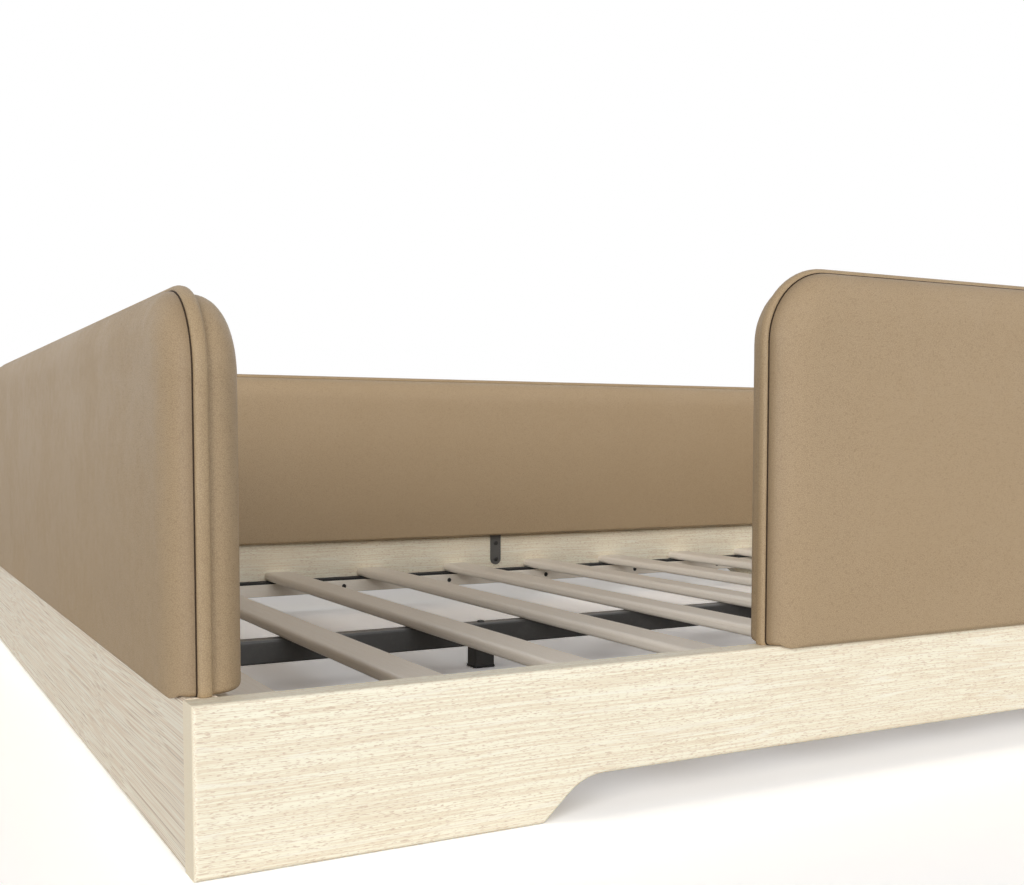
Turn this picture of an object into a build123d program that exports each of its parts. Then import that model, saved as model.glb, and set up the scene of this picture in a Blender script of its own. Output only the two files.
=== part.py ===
from build123d import *
import os
from dataclasses import dataclass
from math import atan, radians, sqrt, tan

# A toddler floor bed: four boards on edge, slats on two ledges, and padded guards round the mattress.
# Millimetres, +Z up, standing on Z = 0. X runs along the front board and Y from the front to the back.
# The origin is on the floor under the middle of the bed.

# Boards of the frame
bed_length = 2090
bed_width = 1500
rail_height = 145
rail_thickness = 31
rail_edge_radius = 4

# Arch cut under each long board
foot_length = 327
arch_height = 39.5
arch_side_angle = 42
arch_bend_radius = 58
arch_toe_radius = 4

# Slats
slat_count = 10
slat_from_end = 139.15
slat_width = 58
slat_thickness = 17
slat_edge_radius = 7
slat_end_gap = 1
slat_seat_height = 71

# Ledges that carry the slats, and the rubber strips on them
ledge_depth = 30
ledge_height = 25
ledge_edge_radius = 1.5
strip_depth = 27
strip_thickness = 4.5
strip_edge_radius = 1

# Centre beam, a box-section tube whose top is level with the strips
beam_width = 30
beam_height = 35
beam_corner_radius = 4
beam_wall = 1.5
beam_end_gap = 1

# Cradles that hold the beam's ends
cradle_wall = 2.5
cradle_side_gap = 0.5
cradle_cheek_height = 27
cradle_reach = 32
cradle_plate_width = 78
cradle_plate_radius = 6
cradle_cheek_radius = 8
cradle_screw_spacing = 58

# Centre legs
leg_length_x = 34
leg_length_y = 30
leg_corner_radius = 3
leg_wall = 2
leg_distance_from_end = 642
foot_thickness = 4.5
foot_rim = 0.6
foot_edge_chamfer = 1
foot_plug_height = 12
foot_plug_wall = 2
foot_plug_gap = 0.3

# Padded guards, whose outlines are their seams and whose depths run inwards from a board's outer face
guard_height = 486.5
front_guard_height = 533
guard_overhang = 12
outer_pad_depth = 24.3
core_thickness = 12.7
inner_pad_depth = 33.7
band_thickness = 2
band_crest = 5.5
band_slope = 4.5
guard_corner_radius = 74.5
guard_foot_radius = 5
outer_pad_inset = 0.5
inner_pad_inset = 1.5
entry_end = 597.5
guard_end_gap = 3
pad_rest_gap = 0.3

# Domed rim of a pad, with a short turn at its foot
pad_rim_reach = 50
pad_foot_reach = 7
pad_rim_power = 2.3
pad_rim_shares = (0, 0.03, 0.12, 0.36, 1)
pad_least_radius = 2

# Straps that tie the guards to the boards
strap_width = 25
strap_thickness = 3
strap_below_board_top = 65
strap_below_guard_top = 156.5
strap_joggle_gap = 4
strap_joggle_rise = 12
strap_end_radius = 12.4
strap_screw_from_end = 12.5
strap_screw_below_board_top = 17
strap_screw_above_board_top = 45
strap_pocket_gap = 1.5
strap_pocket_depth = 9.8
end_strap_from_corner = 300

# Angle brackets in the inside corners of the frame
corner_leg = 58
corner_thickness = 3
corner_bracket_height = 48
corner_bracket_below_top = 13
corner_bend_radius = 4
corner_end_chamfer = 8
corner_screw_distance = 40
corner_screw_from_edge = 12

# Screws, bolts and nuts
ledge_screw_count = 8
ledge_screw_from_left_end = 187.5
ledge_screw_from_right_end = 200.5
ledge_screw_radius = 2.5
ledge_screw_length = 42
ledge_screw_head_radius = 4.6
ledge_screw_head_height = 4
ledge_bore_radius = 5
ledge_bore_depth = 8
ledge_bore_sides = 16
short_screw_radius = 2.25
rail_screw_length = 22
core_screw_length = 13
pan_head_radius = 4.6
pan_head_height = 2.6
screw_hole_gap = 0.25
shank_sides = 6
head_sides = 8
pilot_spare = 1
bolt_radius = 3
bolt_length = 48
bolt_head_radius = 5.8
bolt_head_height = 3.2
bolt_head_sides = 12
nut_radius = 5.8
nut_height = 5
nut_sides = 6

# Sizes that follow from the ones above
inner_length = bed_length - 2 * rail_thickness
inner_width = bed_width - 2 * rail_thickness
strip_bottom = slat_seat_height - strip_thickness
ledge_bottom = strip_bottom - ledge_height
beam_bottom = slat_seat_height - beam_height
strap_bottom = rail_height - strap_below_board_top
strap_top = guard_height - strap_below_guard_top
strap_joggle_start = rail_height + strap_joggle_gap
strap_rail_holes = (strap_bottom + strap_screw_from_end, rail_height - strap_screw_below_board_top)
strap_core_holes = (rail_height + strap_screw_above_board_top, strap_top - strap_screw_from_end)
corner_bracket_bottom = rail_height - corner_bracket_below_top - corner_bracket_height
ledge_screw_span = bed_length - ledge_screw_from_left_end - ledge_screw_from_right_end
ledge_screw_spacing = ledge_screw_span / (ledge_screw_count - 1)
end_strap_place = bed_width / 2 - end_strap_from_corner
core_outer_depth = outer_pad_depth - guard_overhang
core_inner_depth = core_outer_depth + core_thickness
guard_inner_depth = core_inner_depth + inner_pad_depth
leg_places = (-bed_length / 2 + leg_distance_from_end, bed_length / 2 - leg_distance_from_end)
slat_spacing = (bed_length - 2 * slat_from_end) / (slat_count - 1)
first_slat = slat_from_end - bed_length / 2
slat_gaps = [first_slat + slat_spacing * (count + 1 / 2) for count in range(slat_count - 1)]

# One plane for each side, on its board's outer face: x runs along the board, y up and z outwards.
front_side = Plane(origin=(0, -bed_width / 2, 0), x_dir=(1, 0, 0), z_dir=(0, -1, 0))
back_side = Plane(origin=(0, bed_width / 2, 0), x_dir=(-1, 0, 0), z_dir=(0, 1, 0))
left_side = Plane(origin=(-bed_length / 2, 0, 0), x_dir=(0, -1, 0), z_dir=(-1, 0, 0))
right_side = Plane(origin=(bed_length / 2, 0, 0), x_dir=(0, 1, 0), z_dir=(1, 0, 0))


@dataclass(frozen=True)
class Guard:
    """One guard: the side it stands on, its two ends along that side, its top, and its straps' places."""

    name: str
    side: Plane
    first: float
    last: float
    top: float
    straps: dict


long_guard_end = bed_length / 2 - band_crest
end_guard_near = inner_width / 2
end_guard_far = bed_width / 2 - guard_inner_depth - guard_end_gap - band_crest
front_guard_start = entry_end - bed_length / 2
front_guard_end = bed_length / 2 - guard_inner_depth - guard_end_gap - band_crest

back_guard = Guard(
    "back_guard",
    back_side,
    -long_guard_end,
    long_guard_end,
    guard_height,
    {"left": -slat_gaps[0], "middle": -slat_gaps[4], "right": -slat_gaps[8]},
)
front_guard = Guard(
    "front_guard",
    front_side,
    front_guard_start,
    front_guard_end,
    front_guard_height,
    {"left": slat_gaps[2], "middle": slat_gaps[5], "right": slat_gaps[8]},
)
left_guard = Guard(
    "left_guard",
    left_side,
    -end_guard_far,
    end_guard_near,
    guard_height,
    {"front": end_strap_place, "back": -end_strap_place},
)
right_guard = Guard(
    "right_guard",
    right_side,
    -end_guard_near,
    end_guard_far,
    guard_height,
    {"front": -end_strap_place, "back": end_strap_place},
)
guards = (front_guard, back_guard, left_guard, right_guard)


def facing_in(side, along, height, depth):
    """Plane facing into the bed, at a place along a side, a height and a depth behind its outer face."""
    place = side.from_local_coords((along, height, -depth))
    return Plane(origin=place, x_dir=-side.x_dir, z_dir=-side.z_dir)


def across(side, along):
    """Plane that cuts across a side: x runs inwards from the outer face, y up and z along the side."""
    place = side.from_local_coords((along, 0, 0))
    return Plane(origin=place, x_dir=-side.z_dir, z_dir=side.x_dir)


def save(builder, name):
    """Label a finished piece and write it under that name."""
    builder.part.label = name
    export_step(builder.part, f"parts/{name}.step")


def ledge_screw_places():
    """Places of the ledge screws along X."""
    first = ledge_screw_from_left_end - bed_length / 2
    return [first + ledge_screw_spacing * count for count in range(ledge_screw_count)]


def along_side(side, x):
    """Place along a long side of a point at x."""
    return x * side.x_dir.X


def ledge_screw_planes(side, depth):
    """Seats of one ledge's screws at a depth."""
    height = ledge_bottom + ledge_height / 2
    return [facing_in(side, along_side(side, x), height, depth) for x in ledge_screw_places()]


def strap_screw_planes(guard, heights, depth):
    """Seats of a guard's strap screws at the given heights and depth."""
    return [
        facing_in(guard.side, along, height, depth)
        for along in guard.straps.values()
        for height in heights
    ]


def corner_screw_planes(side, half_span, depth):
    """Seats of the corner brackets' screws on one side, its inside corners half a span from its middle."""
    low = corner_bracket_bottom + corner_screw_from_edge
    high = corner_bracket_bottom + corner_bracket_height - corner_screw_from_edge
    return [
        facing_in(side, end * (half_span - corner_screw_distance), height, depth)
        for end in (-1, 1)
        for height in (low, high)
    ]


def cradle_screw_planes(side, depth):
    """Seats of the two screws of a beam cradle."""
    height = beam_bottom + beam_height / 2
    return [facing_in(side, end * cradle_screw_spacing / 2, height, depth) for end in (-1, 1)]


def hole_cutters(planes, radius, depth, sides=shank_sides):
    """Prisms behind the planes that cut screw holes with the same few sides as the screws themselves."""
    with BuildSketch(*planes) as holes:
        RegularPolygon(radius, sides)
    return extrude(holes.sketch, amount=-depth, mode=Mode.PRIVATE)


def board_cutters(guard, corner_half_span):
    """Cutters for the screws of a board's guard straps and corner brackets."""
    strap_planes = strap_screw_planes(guard, strap_rail_holes, rail_thickness)
    corner_planes = corner_screw_planes(guard.side, corner_half_span, rail_thickness)
    depth = rail_screw_length - strap_thickness + pilot_spare
    return hole_cutters(strap_planes + corner_planes, short_screw_radius, depth)


def make_long_board(name, guard):
    """A long board: its outline with the arch between two feet, pushed back through its thickness."""
    side = guard.side
    arch_half = bed_length / 2 - foot_length
    arch_run = arch_height / tan(radians(arch_side_angle))
    with BuildPart() as board:
        with BuildSketch(side) as face:
            with Locations((0, rail_height / 2)):
                Rectangle(bed_length, rail_height)
            with BuildLine():
                Polyline(
                    (-arch_half, 0),
                    (arch_run - arch_half, arch_height),
                    (arch_half - arch_run, arch_height),
                    (arch_half, 0),
                    close=True,
                )
            make_face(mode=Mode.SUBTRACT)
            fillet(face.vertices().group_by(Axis.Y)[1], radius=arch_bend_radius)
            toes = face.vertices().group_by(Axis.Y)[0].sort_by(Axis.X)[1:-1]
            fillet(toes, radius=arch_toe_radius)
        extrude(amount=-rail_thickness)
        outer_face = board.faces().sort_by(Axis(side.origin, side.z_dir))[-1]
        inner_top = board.edges().filter_by(Axis.X).group_by(Axis.Z)[-1]
        fillet(outer_face.edges() + inner_top, radius=rail_edge_radius)
        add(board_cutters(guard, inner_length / 2), mode=Mode.SUBTRACT)
        ledge_screw_depth = ledge_screw_length - ledge_depth + ledge_bore_depth + pilot_spare
        ledge_planes = ledge_screw_planes(side, rail_thickness)
        add(hole_cutters(ledge_planes, ledge_screw_radius, ledge_screw_depth), mode=Mode.SUBTRACT)
    save(board, name)


def make_end_board(name, guard):
    """A straight end board between the long boards, with its four long edges eased."""
    with BuildPart() as board:
        with BuildSketch(guard.side):
            with Locations((0, rail_height / 2)):
                Rectangle(inner_width, rail_height)
        extrude(amount=-rail_thickness)
        fillet(board.edges().filter_by(Axis.Y), radius=rail_edge_radius)
        add(board_cutters(guard, inner_width / 2), mode=Mode.SUBTRACT)
        cradle_planes = cradle_screw_planes(guard.side, rail_thickness)
        cradle_screw_depth = rail_screw_length - cradle_wall + pilot_spare
        add(hole_cutters(cradle_planes, short_screw_radius, cradle_screw_depth), mode=Mode.SUBTRACT)
    save(board, name)


def make_ledge(name, side):
    """A batten against a long board, with counterbored holes for its screws."""
    with BuildPart() as ledge:
        with BuildSketch(side.offset(-rail_thickness)):
            with Locations((0, ledge_bottom + ledge_height / 2)):
                Rectangle(inner_length, ledge_height)
        extrude(amount=-ledge_depth)
        front_face = ledge.faces().sort_by(Axis(side.origin, side.z_dir))[0]
        fillet(front_face.edges().filter_by(Axis.X), radius=ledge_edge_radius)
        bore_planes = ledge_screw_planes(side, rail_thickness + ledge_depth)
        bores = hole_cutters(bore_planes, ledge_bore_radius, ledge_bore_depth, ledge_bore_sides)
        add(bores, mode=Mode.SUBTRACT)
        hole_radius = ledge_screw_radius + screw_hole_gap
        add(hole_cutters(bore_planes, hole_radius, ledge_depth), mode=Mode.SUBTRACT)
    save(ledge, name)


def make_strip(name, side):
    """A rubber strip on a ledge, under the slats' ends."""
    with BuildPart() as strip:
        with BuildSketch(side.offset(-rail_thickness)):
            with Locations((0, strip_bottom + strip_thickness / 2)):
                Rectangle(inner_length, strip_thickness)
        extrude(amount=-strip_depth)
        front_face = strip.faces().sort_by(Axis(side.origin, side.z_dir))[0]
        fillet(front_face.edges().filter_by(Axis.X).sort_by(Axis.Z)[-1], radius=strip_edge_radius)
    save(strip, name)


def make_slat(name, x):
    """A slat with rounded long edges, from board to board."""
    length = inner_width - 2 * slat_end_gap
    with BuildPart() as slat:
        with BuildSketch(Plane.XZ):
            with Locations((x, slat_seat_height + slat_thickness / 2)):
                RectangleRounded(slat_width, slat_thickness, slat_edge_radius)
        extrude(amount=length / 2, both=True)
    save(slat, name)


def make_beam():
    """The centre beam: a box-section tube, drilled for the legs' bolts."""
    length = inner_length - 2 * (cradle_wall + beam_end_gap)
    with BuildPart() as beam:
        with BuildSketch(Plane.YZ):
            with Locations((0, beam_bottom + beam_height / 2)):
                RectangleRounded(beam_width, beam_height, beam_corner_radius)
                RectangleRounded(
                    beam_width - 2 * beam_wall,
                    beam_height - 2 * beam_wall,
                    beam_corner_radius - beam_wall,
                    mode=Mode.SUBTRACT,
                )
        extrude(amount=length / 2, both=True)
        bolt_planes = [Plane((x, 0, slat_seat_height)) for x in leg_places]
        add(hole_cutters(bolt_planes, bolt_radius + screw_hole_gap, beam_height), mode=Mode.SUBTRACT)
    save(beam, "centre_beam")


def make_cradle(name, side):
    """A folded cradle for one end of the beam: a screwed plate with a seat and two cheeks."""
    seat_bottom = beam_bottom - cradle_wall
    plate_height = slat_seat_height - seat_bottom
    seat_width = beam_width + 2 * cradle_side_gap
    plate_plane = facing_in(side, 0, 0, rail_thickness)
    with BuildPart() as cradle:
        with BuildSketch(plate_plane):
            with Locations((0, seat_bottom + plate_height / 2)):
                RectangleRounded(cradle_plate_width, plate_height, cradle_plate_radius)
        extrude(amount=cradle_wall)
        with BuildSketch(plate_plane.offset(cradle_wall)):
            with Locations((0, seat_bottom + cradle_cheek_height / 2)):
                Rectangle(seat_width + 2 * cradle_wall, cradle_cheek_height)
            with Locations((0, beam_bottom + cradle_cheek_height / 2)):
                Rectangle(seat_width, cradle_cheek_height, mode=Mode.SUBTRACT)
        extrude(amount=cradle_reach - cradle_wall)
        cheek_tips = cradle.edges().filter_by(Axis.Y).group_by(Axis(side.origin, side.z_dir))[0]
        fillet(cheek_tips.group_by(Axis.Z)[-1], radius=cradle_cheek_radius)
        screw_planes = cradle_screw_planes(side, rail_thickness + cradle_wall)
        hole_radius = short_screw_radius + screw_hole_gap
        add(hole_cutters(screw_planes, hole_radius, cradle_wall), mode=Mode.SUBTRACT)
    save(cradle, name)


def make_leg(name, x):
    """A short box-section leg, closed at the top where its bolt passes."""
    height = beam_bottom - foot_thickness
    with BuildPart() as leg:
        with BuildSketch(Plane.XY.offset(foot_thickness)):
            with Locations((x, 0)):
                RectangleRounded(leg_length_x, leg_length_y, leg_corner_radius)
        extrude(amount=height)
        with BuildSketch(Plane.XY.offset(foot_thickness)):
            with Locations((x, 0)):
                Rectangle(leg_length_x - 2 * leg_wall, leg_length_y - 2 * leg_wall)
        extrude(amount=height - leg_wall, mode=Mode.SUBTRACT)
        bolt_plane = Plane((x, 0, beam_bottom))
        add(hole_cutters([bolt_plane], bolt_radius + screw_hole_gap, leg_wall), mode=Mode.SUBTRACT)
    save(leg, name)


def make_foot(name, x):
    """A moulded foot: a pad on the floor and a hollow plug that fills the leg's end."""
    plug_x = leg_length_x - 2 * leg_wall - 2 * foot_plug_gap
    plug_y = leg_length_y - 2 * leg_wall - 2 * foot_plug_gap
    with BuildPart() as foot:
        with BuildSketch():
            with Locations((x, 0)):
                Rectangle(leg_length_x + 2 * foot_rim, leg_length_y + 2 * foot_rim)
        extrude(amount=foot_thickness)
        chamfer(foot.edges(), length=foot_edge_chamfer)
        with BuildSketch(Plane.XY.offset(foot_thickness)):
            with Locations((x, 0)):
                Rectangle(plug_x, plug_y)
                Rectangle(plug_x - 2 * foot_plug_wall, plug_y - 2 * foot_plug_wall, mode=Mode.SUBTRACT)
        extrude(amount=foot_plug_height)
    save(foot, name)


def make_strap(name, side, along):
    """A joggled strap: flat on the board below, flat on the guard's core above, with round ends."""
    joggle = rail_thickness - core_inner_depth
    knee_shift = strap_thickness * tan(atan(joggle / strap_joggle_rise) / 2)
    joggle_end = strap_joggle_start + strap_joggle_rise
    with BuildPart() as strap:
        with BuildSketch(across(side, along)):
            with BuildLine():
                Polyline(
                    (rail_thickness, strap_bottom),
                    (rail_thickness, strap_joggle_start),
                    (core_inner_depth, joggle_end),
                    (core_inner_depth, strap_top),
                    (core_inner_depth + strap_thickness, strap_top),
                    (core_inner_depth + strap_thickness, joggle_end + knee_shift),
                    (rail_thickness + strap_thickness, strap_joggle_start + knee_shift),
                    (rail_thickness + strap_thickness, strap_bottom),
                    close=True,
                )
            make_face()
        extrude(amount=strap_width / 2, both=True)
        ends = strap.edges().filter_by(Axis(side.origin, side.z_dir))
        fillet(ends, radius=strap_end_radius)
        hole_planes = [
            facing_in(side, along, height, rail_thickness + strap_thickness)
            for height in strap_rail_holes + strap_core_holes
        ]
        hole_radius = short_screw_radius + screw_hole_gap
        add(hole_cutters(hole_planes, hole_radius, joggle + strap_thickness), mode=Mode.SUBTRACT)
    save(strap, name)


def make_corner_bracket(name, corner, along):
    """An angle bracket in an inside corner, whose two wings run along its plane's x and y."""
    plane = Plane(origin=(*corner, corner_bracket_bottom), x_dir=along, z_dir=(0, 0, 1))
    with BuildPart() as bracket:
        with BuildSketch(plane):
            with BuildLine():
                Polyline(
                    (0, 0),
                    (corner_leg, 0),
                    (corner_leg, corner_thickness),
                    (corner_thickness, corner_thickness),
                    (corner_thickness, corner_leg),
                    (0, corner_leg),
                    close=True,
                )
            make_face()
        extrude(amount=corner_bracket_height)
        outer_bend, inner_bend = bracket.edges().filter_by(Axis.Z).sort_by_distance(plane.origin)[:2]
        fillet(inner_bend, radius=corner_bend_radius)
        fillet(outer_bend, radius=corner_bend_radius + corner_thickness)
        for wing_axis in (Axis.X, Axis.Y):
            wing_ends = bracket.edges().filter_by(wing_axis)
            wing_ends = wing_ends.filter_by(lambda edge: edge.length < corner_bend_radius)
            chamfer(wing_ends, length=corner_end_chamfer)
        for height in (corner_screw_from_edge, corner_bracket_height - corner_screw_from_edge):
            x_spot = plane.from_local_coords((corner_screw_distance, corner_thickness, height))
            y_spot = plane.from_local_coords((corner_thickness, corner_screw_distance, height))
            hole_planes = [
                Plane(x_spot, x_dir=-plane.x_dir, z_dir=plane.y_dir),
                Plane(y_spot, x_dir=plane.y_dir, z_dir=plane.x_dir),
            ]
            holes = hole_cutters(hole_planes, short_screw_radius + screw_hole_gap, corner_thickness)
            add(holes, mode=Mode.SUBTRACT)
    save(bracket, name)


def make_fasteners(name, planes, shank, head, sides):
    """A group of like screws, one on each plane; shank and head are (radius, length) pairs."""
    with BuildPart() as group:
        with BuildSketch(*planes):
            RegularPolygon(head[0], sides)
        extrude(amount=head[1])
        with BuildSketch(*planes):
            RegularPolygon(shank[0], shank_sides)
        extrude(amount=-shank[1])
    save(group, name)


def make_nuts():
    """The hexagon nuts under the legs' top plates."""
    with BuildPart() as nuts:
        with BuildSketch(Plane.XY.offset(beam_bottom - leg_wall)):
            with Locations(*[(x, 0) for x in leg_places]):
                RegularPolygon(nut_radius, nut_sides)
                RegularPolygon(bolt_radius, shank_sides, mode=Mode.SUBTRACT)
        extrude(amount=-nut_height)
    save(nuts, "leg_nuts")


def panel_face(plane, first, last, bottom, top, corner_radius, inset=0, foot_inset=0):
    """Upright panel with large top corners and small foot corners, drawn in from its edges."""
    bottom = bottom + foot_inset
    top = top - inset
    with BuildSketch(plane) as panel:
        with Locations(((first + last) / 2, (bottom + top) / 2)):
            Rectangle(last - first - 2 * inset, top - bottom)
        rows = panel.vertices().group_by(Axis.Y)
        fillet(rows[-1], radius=max(corner_radius - inset, pad_least_radius))
        fillet(rows[0], radius=max(guard_foot_radius - foot_inset, pad_least_radius))
    return panel.sketch


def pad_layers(depth):
    """Heights of a pad's dome, each with how far it is drawn in at the ends and top, and at the foot."""
    layers = []
    for share in pad_rim_shares:
        rise = (1 - (1 - share) ** pad_rim_power) ** (1 / pad_rim_power)
        foot_share = 1 - sqrt(1 - rise**2)
        layers.append((depth * rise, pad_rim_reach * share, pad_foot_reach * foot_share))
    return layers


def make_core(guard):
    """The board inside a guard, drilled for the straps' screws."""
    plane = guard.side.offset(-core_outer_depth)
    with BuildPart() as core:
        ends = (guard.first, guard.last, rail_height, guard.top)
        outline = panel_face(plane, *ends, guard_corner_radius, band_thickness, band_thickness)
        extrude(outline, amount=-core_thickness)
        screw_planes = strap_screw_planes(guard, strap_core_holes, core_inner_depth)
        screw_depth = core_screw_length - strap_thickness + pilot_spare
        add(hole_cutters(screw_planes, short_screw_radius, screw_depth), mode=Mode.SUBTRACT)
    save(core, f"{guard.name}_core")


def make_band(guard):
    """The padded band round a guard's core board: sloped to a crest, and cut off flat at its foot."""
    plane = guard.side.offset(-core_outer_depth)
    crest_foot = rail_height - band_slope
    crest_ends = (guard.first - band_crest, guard.last + band_crest, crest_foot, guard.top + band_crest)
    seam_ends = (guard.first, guard.last, rail_height, guard.top)
    with BuildPart() as band:
        extrude(panel_face(plane, *crest_ends, guard_corner_radius + band_crest), amount=-core_thickness)
        side_axis = Axis(guard.side.origin, guard.side.z_dir)
        chamfer(band.faces().filter_by(side_axis).edges(), length=band_slope)
        split(bisect_by=Plane.XY.offset(rail_height))
        hollow = panel_face(plane, *seam_ends, guard_corner_radius, band_thickness, band_thickness)
        extrude(hollow, amount=-core_thickness, mode=Mode.SUBTRACT)
    save(band, f"{guard.name}_band")


def make_pad(name, plane, first, last, top, edge_inset, depth, strap_places):
    """A domed pad on a plane of a guard's core, with a pocket behind it for each strap."""
    corner_radius = guard_corner_radius - edge_inset
    ends = (first + edge_inset, last - edge_inset, rail_height + pad_rest_gap, top - edge_inset)
    with BuildPart() as pad:
        sections = [
            panel_face(plane.offset(height), *ends, corner_radius, inset, foot_inset)
            for height, inset, foot_inset in pad_layers(depth)
        ]
        loft(sections, ruled=True)
        if strap_places:
            pocket_top = strap_top + strap_pocket_gap
            with BuildSketch(plane):
                with Locations(*[(along, (rail_height + pocket_top) / 2) for along in strap_places]):
                    Rectangle(strap_width + 2 * strap_pocket_gap, pocket_top - rail_height)
            extrude(amount=strap_pocket_depth, mode=Mode.SUBTRACT)
    save(pad, name)


def make_guard(guard):
    """A guard: its core board, edge band, outer pad and inner pad, and the straps that hold it."""
    make_core(guard)
    make_band(guard)
    outer_plane = guard.side.offset(-core_outer_depth)
    make_pad(
        f"{guard.name}_outer_pad",
        outer_plane,
        guard.first,
        guard.last,
        guard.top,
        outer_pad_inset,
        outer_pad_depth,
        (),
    )
    inner_plane = facing_in(guard.side, 0, 0, core_inner_depth)
    make_pad(
        f"{guard.name}_inner_pad",
        inner_plane,
        -guard.last,
        -guard.first,
        guard.top,
        inner_pad_inset,
        inner_pad_depth,
        [-along for along in guard.straps.values()],
    )
    for place, along in guard.straps.items():
        make_strap(f"{guard.name}_strap_{place}", guard.side, along)


os.makedirs("parts", exist_ok=True)

make_long_board("front_rail", front_guard)
make_long_board("back_rail", back_guard)
make_end_board("left_end_rail", left_guard)
make_end_board("right_end_rail", right_guard)

for side_name, long_side in (("front", front_side), ("back", back_side)):
    make_ledge(f"{side_name}_slat_ledge", long_side)
    make_strip(f"{side_name}_ledge_strip", long_side)

for count in range(slat_count):
    make_slat(f"slat_{count + 1:02d}", first_slat + slat_spacing * count)

make_beam()
make_cradle("left_beam_cradle", left_side)
make_cradle("right_beam_cradle", right_side)

for leg_name, leg_x in zip(("left", "right"), leg_places):
    make_leg(f"{leg_name}_centre_leg", leg_x)
    make_foot(f"{leg_name}_leg_foot", leg_x)
make_nuts()

for bed_guard in guards:
    make_guard(bed_guard)

corner_x = inner_length / 2
corner_y = inner_width / 2
make_corner_bracket("front_left_corner_bracket", (-corner_x, -corner_y), (1, 0, 0))
make_corner_bracket("front_right_corner_bracket", (corner_x, -corner_y), (0, 1, 0))
make_corner_bracket("back_right_corner_bracket", (corner_x, corner_y), (-1, 0, 0))
make_corner_bracket("back_left_corner_bracket", (-corner_x, corner_y), (0, -1, 0))

ledge_planes = []
for long_side in (front_side, back_side):
    ledge_planes += ledge_screw_planes(long_side, rail_thickness + ledge_depth - ledge_bore_depth)
make_fasteners(
    "ledge_screws",
    ledge_planes,
    (ledge_screw_radius, ledge_screw_length),
    (ledge_screw_head_radius, ledge_screw_head_height),
    head_sides,
)

rail_planes = []
core_planes = []
for bed_guard in guards:
    half_span = inner_length / 2 if bed_guard in (front_guard, back_guard) else inner_width / 2
    rail_planes += strap_screw_planes(bed_guard, strap_rail_holes, rail_thickness + strap_thickness)
    rail_planes += corner_screw_planes(bed_guard.side, half_span, rail_thickness + corner_thickness)
    core_planes += strap_screw_planes(bed_guard, strap_core_holes, core_inner_depth + strap_thickness)
for end_side in (left_side, right_side):
    rail_planes += cradle_screw_planes(end_side, rail_thickness + cradle_wall)
pan_head = (pan_head_radius, pan_head_height)
rail_shank = (short_screw_radius, rail_screw_length)
core_shank = (short_screw_radius, core_screw_length)
make_fasteners("rail_screws", rail_planes, rail_shank, pan_head, head_sides)
make_fasteners("guard_core_screws", core_planes, core_shank, pan_head, head_sides)

make_fasteners(
    "leg_bolts",
    [Plane((x, 0, slat_seat_height)) for x in leg_places],
    (bolt_radius, bolt_length),
    (bolt_head_radius, bolt_head_height),
    bolt_head_sides,
)
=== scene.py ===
"""Dress a toddler floor bed: pale timber frame, slats, black steel fittings and leather-covered guards.

Every length is in metres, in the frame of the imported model: X along the front board, Y from front to back.
"""

import logging
import math
from dataclasses import dataclass, replace
from enum import Enum

import bmesh
import bpy
import numpy as np
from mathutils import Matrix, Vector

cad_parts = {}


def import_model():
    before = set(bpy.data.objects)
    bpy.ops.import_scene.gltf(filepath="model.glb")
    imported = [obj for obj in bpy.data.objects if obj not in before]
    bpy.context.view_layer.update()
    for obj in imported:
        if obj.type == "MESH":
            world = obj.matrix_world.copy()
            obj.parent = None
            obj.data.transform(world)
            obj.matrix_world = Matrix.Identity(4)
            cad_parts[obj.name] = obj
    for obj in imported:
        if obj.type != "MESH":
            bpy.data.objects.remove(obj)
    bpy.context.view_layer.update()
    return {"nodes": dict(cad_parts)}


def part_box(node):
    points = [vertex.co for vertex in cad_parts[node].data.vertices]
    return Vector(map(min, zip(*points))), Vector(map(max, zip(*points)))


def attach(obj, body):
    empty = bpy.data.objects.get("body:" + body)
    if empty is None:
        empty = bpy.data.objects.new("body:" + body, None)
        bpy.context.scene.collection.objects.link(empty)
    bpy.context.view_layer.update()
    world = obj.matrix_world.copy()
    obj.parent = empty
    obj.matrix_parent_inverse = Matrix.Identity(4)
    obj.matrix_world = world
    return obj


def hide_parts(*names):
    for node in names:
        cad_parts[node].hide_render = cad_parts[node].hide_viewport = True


log = logging.getLogger("floor_bed")

Colour = tuple[float, float, float]
Piece = bpy.types.Object
Socket = bpy.types.NodeSocket

# Point attribute that weights the painted shade along the outer pads' seams.
PAINTED_SHADE_ATTRIBUTE = "painted_seam_shade_share"
BODY = "root"
WHITE = (1.0, 1.0, 1.0, 1.0)
SAME_LEVEL = 2e-4


class Slot(Enum):
    """Material slots of the record, named beside each finish; dress does not use them."""

    FRAME_WOOD = "frame_wood"
    SLAT_WOOD = "slat_wood"
    CORE_BOARD = "core_board"
    LEATHER = "guard_leather"
    RUBBER = "strip_rubber"
    STEEL = "black_steel"
    PLASTIC = "foot_plastic"
    SCREW = "black_screw"
    ZINC = "zinc_steel"


class Grain(Enum):
    """Direction that the fibres of a timber piece run in."""

    ALONG_X = 0.0
    ALONG_Y = math.pi / 2


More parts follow.
